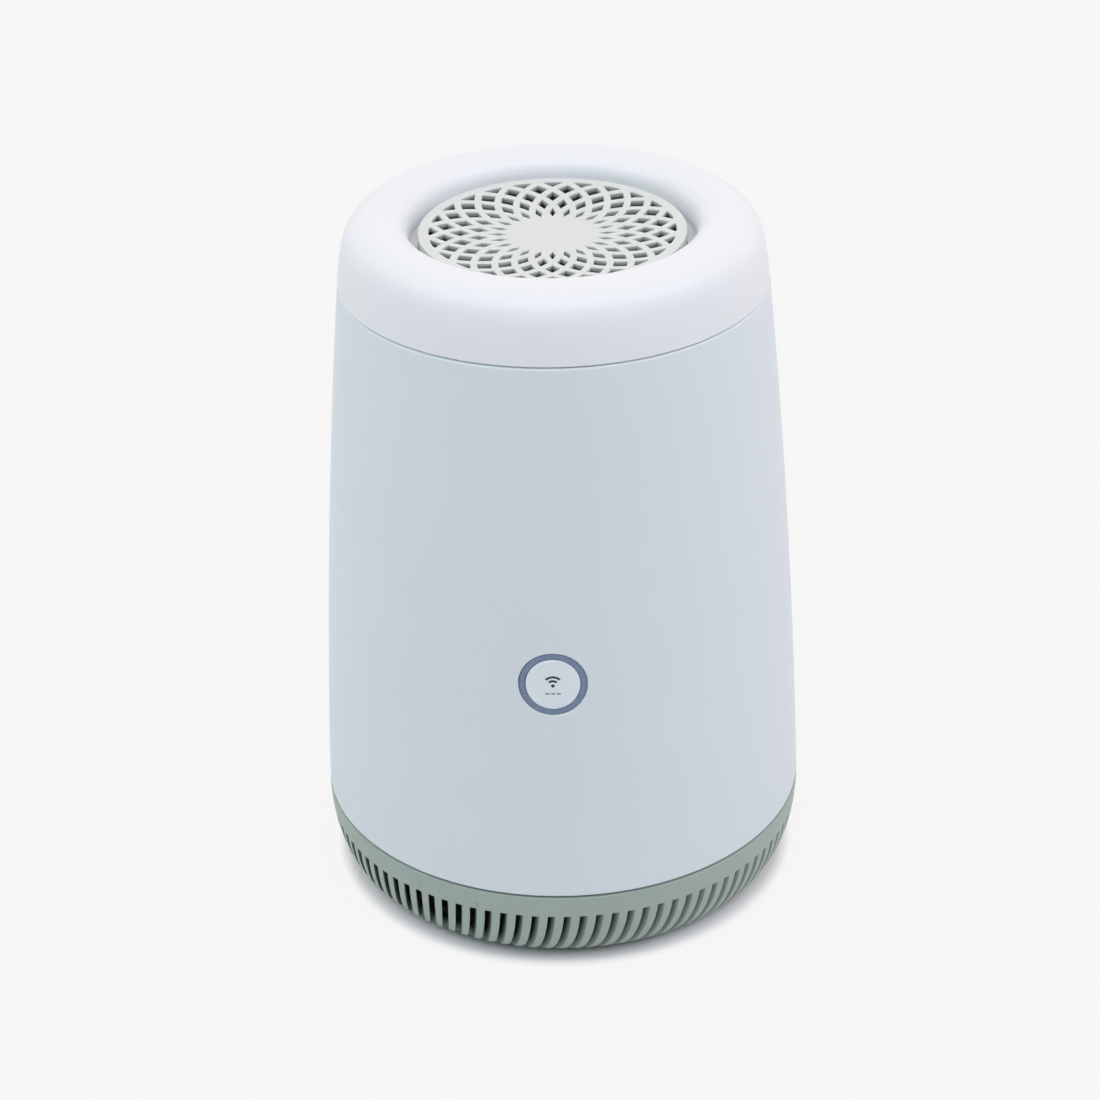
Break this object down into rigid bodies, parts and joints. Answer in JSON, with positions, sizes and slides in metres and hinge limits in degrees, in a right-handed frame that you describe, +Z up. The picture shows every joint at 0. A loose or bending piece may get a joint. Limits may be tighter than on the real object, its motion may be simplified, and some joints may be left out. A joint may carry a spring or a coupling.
{
  "type": "wireless router",
  "caption": "Tapered round tower router with a louvred base, a sunken lattice grille in a rounded crown, a lit setup button and rear network sockets.",
  "frame": {"origin": "on the floor, under the middle of the tower", "axes": "+Z up, -Y towards the front with the setup button, +Y towards the sockets"},
  "size_m": [0.13, 0.13, 0.188],
  "materials": {
    "body_white": "fine moulded texture",
    "crown_white": "smooth moulded",
    "grille_white": "smooth moulded",
    "base_grey": "fine moulded texture",
    "button_white": "smooth moulded",
    "light_guide": "frosted translucent",
    "foot_rubber": "matte",
    "panel_white": "fine moulded texture",
    "socket_black": "moulded",
    "contact_metal": "plated",
    "board_green": "solder mask",
    "chip_black": "moulded epoxy",
    "sink_aluminium": "extruded",
    "pad_grey": "silicone",
    "screw_steel": "zinc plated",
    "shield_steel": "tinned",
    "chassis_grey": "moulded",
    "lamp_white": "moulded lens"
  },
  "bodies": {
    "housing": {"body_shell": "body_white", "crown_ring": "crown_white", "top_grille": "grille_white", "grille_carrier": "chassis_grey", "crown_screws": "screw_steel", "base_louvre": "base_grey", "base_plate": "base_grey", "rubber_feet": "foot_rubber", "base_screws": "screw_steel", "setup_switch": "shield_steel", "light_ring": "light_guide", "ring_leds": "lamp_white", "button_board": "board_green", "button_screws": "screw_steel", "link_socket": "socket_black", "io_panel": "panel_white", "wan_jack": "socket_black", "lan_jack_1": "socket_black", "lan_jack_2": "socket_black", "lan_jack_3": "socket_black", "dc_jack": "socket_black", "dc_jack_pin": "contact_metal", "power_switch": "chip_black", "reset_switch": "shield_steel", "inner_chassis": "chassis_grey", "main_board": "board_green", "main_chips": "chip_black", "thermal_pad": "pad_grey", "heat_sink": "sink_aluminium", "heat_sink_screws": "screw_steel", "rf_shields": "shield_steel", "antennas": "shield_steel"},
    "setup": {"setup_button": "button_white", "setup_plunger": "chip_black"},
    "power": {"power_button": "button_white"},
    "reset": {"reset_plunger": "chip_black"}
  },
  "joints": [
    {"name": "setup_press", "type": "slide", "parent": "housing", "child": "setup", "axis": [0, 1, 0], "range_m": [0, 0.0005], "stiffness_N_per_m": 3000},
    {"name": "power_press", "type": "slide", "parent": "housing", "child": "power", "axis": [0, -1, 0], "range_m": [0, 0.002], "stiffness_N_per_m": 900},
    {"name": "reset_press", "type": "slide", "parent": "housing", "child": "reset", "axis": [0, -1, 0], "range_m": [0, 0.0003], "stiffness_N_per_m": 4000}
  ]
}
